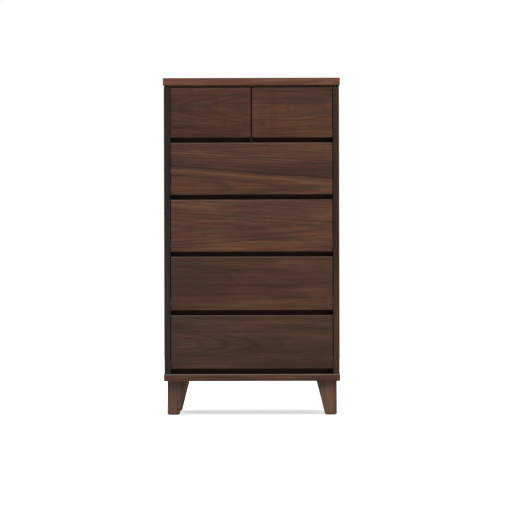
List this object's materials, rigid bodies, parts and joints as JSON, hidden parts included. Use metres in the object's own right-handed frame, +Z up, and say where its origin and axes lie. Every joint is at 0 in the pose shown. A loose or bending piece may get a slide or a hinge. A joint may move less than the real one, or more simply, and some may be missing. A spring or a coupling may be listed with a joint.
{
  "type": "tall chest of drawers",
  "caption": "Tall narrow chest with small drawers side by side above full-width ones, pulled by finger gaps below the fronts, on tapered legs.",
  "frame": {"origin": "on the floor, below the middle of the chest's width and depth", "axes": "+X to the right seen from the front, +Y towards the wall behind, +Z up; the drawers pull out along -Y"},
  "size_m": [0.7, 0.44, 1.3338],
  "materials": {
    "walnut_veneer": "open-pore satin lacquer on dark walnut veneer",
    "walnut_top": "satin lacquer on dark walnut veneer",
    "walnut_leg": "satin lacquer on solid walnut",
    "dark_liner": "matt black stain",
    "back_board": "printed brown hardboard",
    "drawer_wood": "pale sanded paulownia",
    "drawer_board": "pale plywood",
    "slide_steel": "grey powder coat",
    "felt": "dark felt pad"
  },
  "bodies": {
    "cabinet": {"top_board": "walnut_top", "top_spacer": "dark_liner", "left_side_panel": "walnut_veneer", "right_side_panel": "walnut_veneer", "base_board": "walnut_veneer", "back_panel": "back_board", "rear_top_rail": "drawer_wood", "centre_divider": "walnut_veneer", "dust_shelf": "drawer_board", "rail_below_top_drawers": "dark_liner", "rail_below_second_drawer": "dark_liner", "rail_below_third_drawer": "dark_liner", "rail_below_fourth_drawer": "dark_liner", "rail_below_bottom_drawer": "dark_liner", "front_left_leg": "walnut_leg", "front_right_leg": "walnut_leg", "back_left_leg": "walnut_leg", "back_right_leg": "walnut_leg", "front_left_glide": "felt", "front_right_glide": "felt", "back_left_glide": "felt", "back_right_glide": "felt", "left_drawer_guide": "drawer_wood", "right_drawer_guide": "drawer_wood", "left_drawer_stop": "drawer_wood", "right_drawer_stop": "drawer_wood", "second_drawer_left_track": "slide_steel", "second_drawer_right_track": "slide_steel", "third_drawer_left_track": "slide_steel", "third_drawer_right_track": "slide_steel", "fourth_drawer_left_track": "slide_steel", "fourth_drawer_right_track": "slide_steel", "bottom_drawer_left_track": "slide_steel", "bottom_drawer_right_track": "slide_steel"},
    "top_left_drawer": {"top_left_drawer_front": "walnut_veneer", "top_left_drawer_box": "drawer_wood", "top_left_drawer_bottom": "drawer_board"},
    "top_right_drawer": {"top_right_drawer_front": "walnut_veneer", "top_right_drawer_box": "drawer_wood", "top_right_drawer_bottom": "drawer_board"},
    "second_drawer": {"second_drawer_front": "walnut_veneer", "second_drawer_box": "drawer_wood", "second_drawer_bottom": "drawer_board", "second_drawer_left_runner": "slide_steel", "second_drawer_right_runner": "slide_steel"},
    "third_drawer": {"third_drawer_front": "walnut_veneer", "third_drawer_box": "drawer_wood", "third_drawer_bottom": "drawer_board", "third_drawer_left_runner": "slide_steel", "third_drawer_right_runner": "slide_steel"},
    "fourth_drawer": {"fourth_drawer_front": "walnut_veneer", "fourth_drawer_box": "drawer_wood", "fourth_drawer_bottom": "drawer_board", "fourth_drawer_left_runner": "slide_steel", "fourth_drawer_right_runner": "slide_steel"},
    "bottom_drawer": {"bottom_drawer_front": "walnut_veneer", "bottom_drawer_box": "drawer_wood", "bottom_drawer_bottom": "drawer_board", "bottom_drawer_left_runner": "slide_steel", "bottom_drawer_right_runner": "slide_steel"}
  },
  "joints": [
    {"name": "top_left_drawer_slide", "type": "slide", "parent": "cabinet", "child": "top_left_drawer", "axis": [0, -1, 0], "range_m": [0, 0.25]},
    {"name": "top_right_drawer_slide", "type": "slide", "parent": "cabinet", "child": "top_right_drawer", "axis": [0, -1, 0], "range_m": [0, 0.25]},
    {"name": "second_drawer_slide", "type": "slide", "parent": "cabinet", "child": "second_drawer", "axis": [0, -1, 0], "range_m": [0, 0.28]},
    {"name": "third_drawer_slide", "type": "slide", "parent": "cabinet", "child": "third_drawer", "axis": [0, -1, 0], "range_m": [0, 0.28]},
    {"name": "fourth_drawer_slide", "type": "slide", "parent": "cabinet", "child": "fourth_drawer", "axis": [0, -1, 0], "range_m": [0, 0.28]},
    {"name": "bottom_drawer_slide", "type": "slide", "parent": "cabinet", "child": "bottom_drawer", "axis": [0, -1, 0], "range_m": [0, 0.28]}
  ]
}
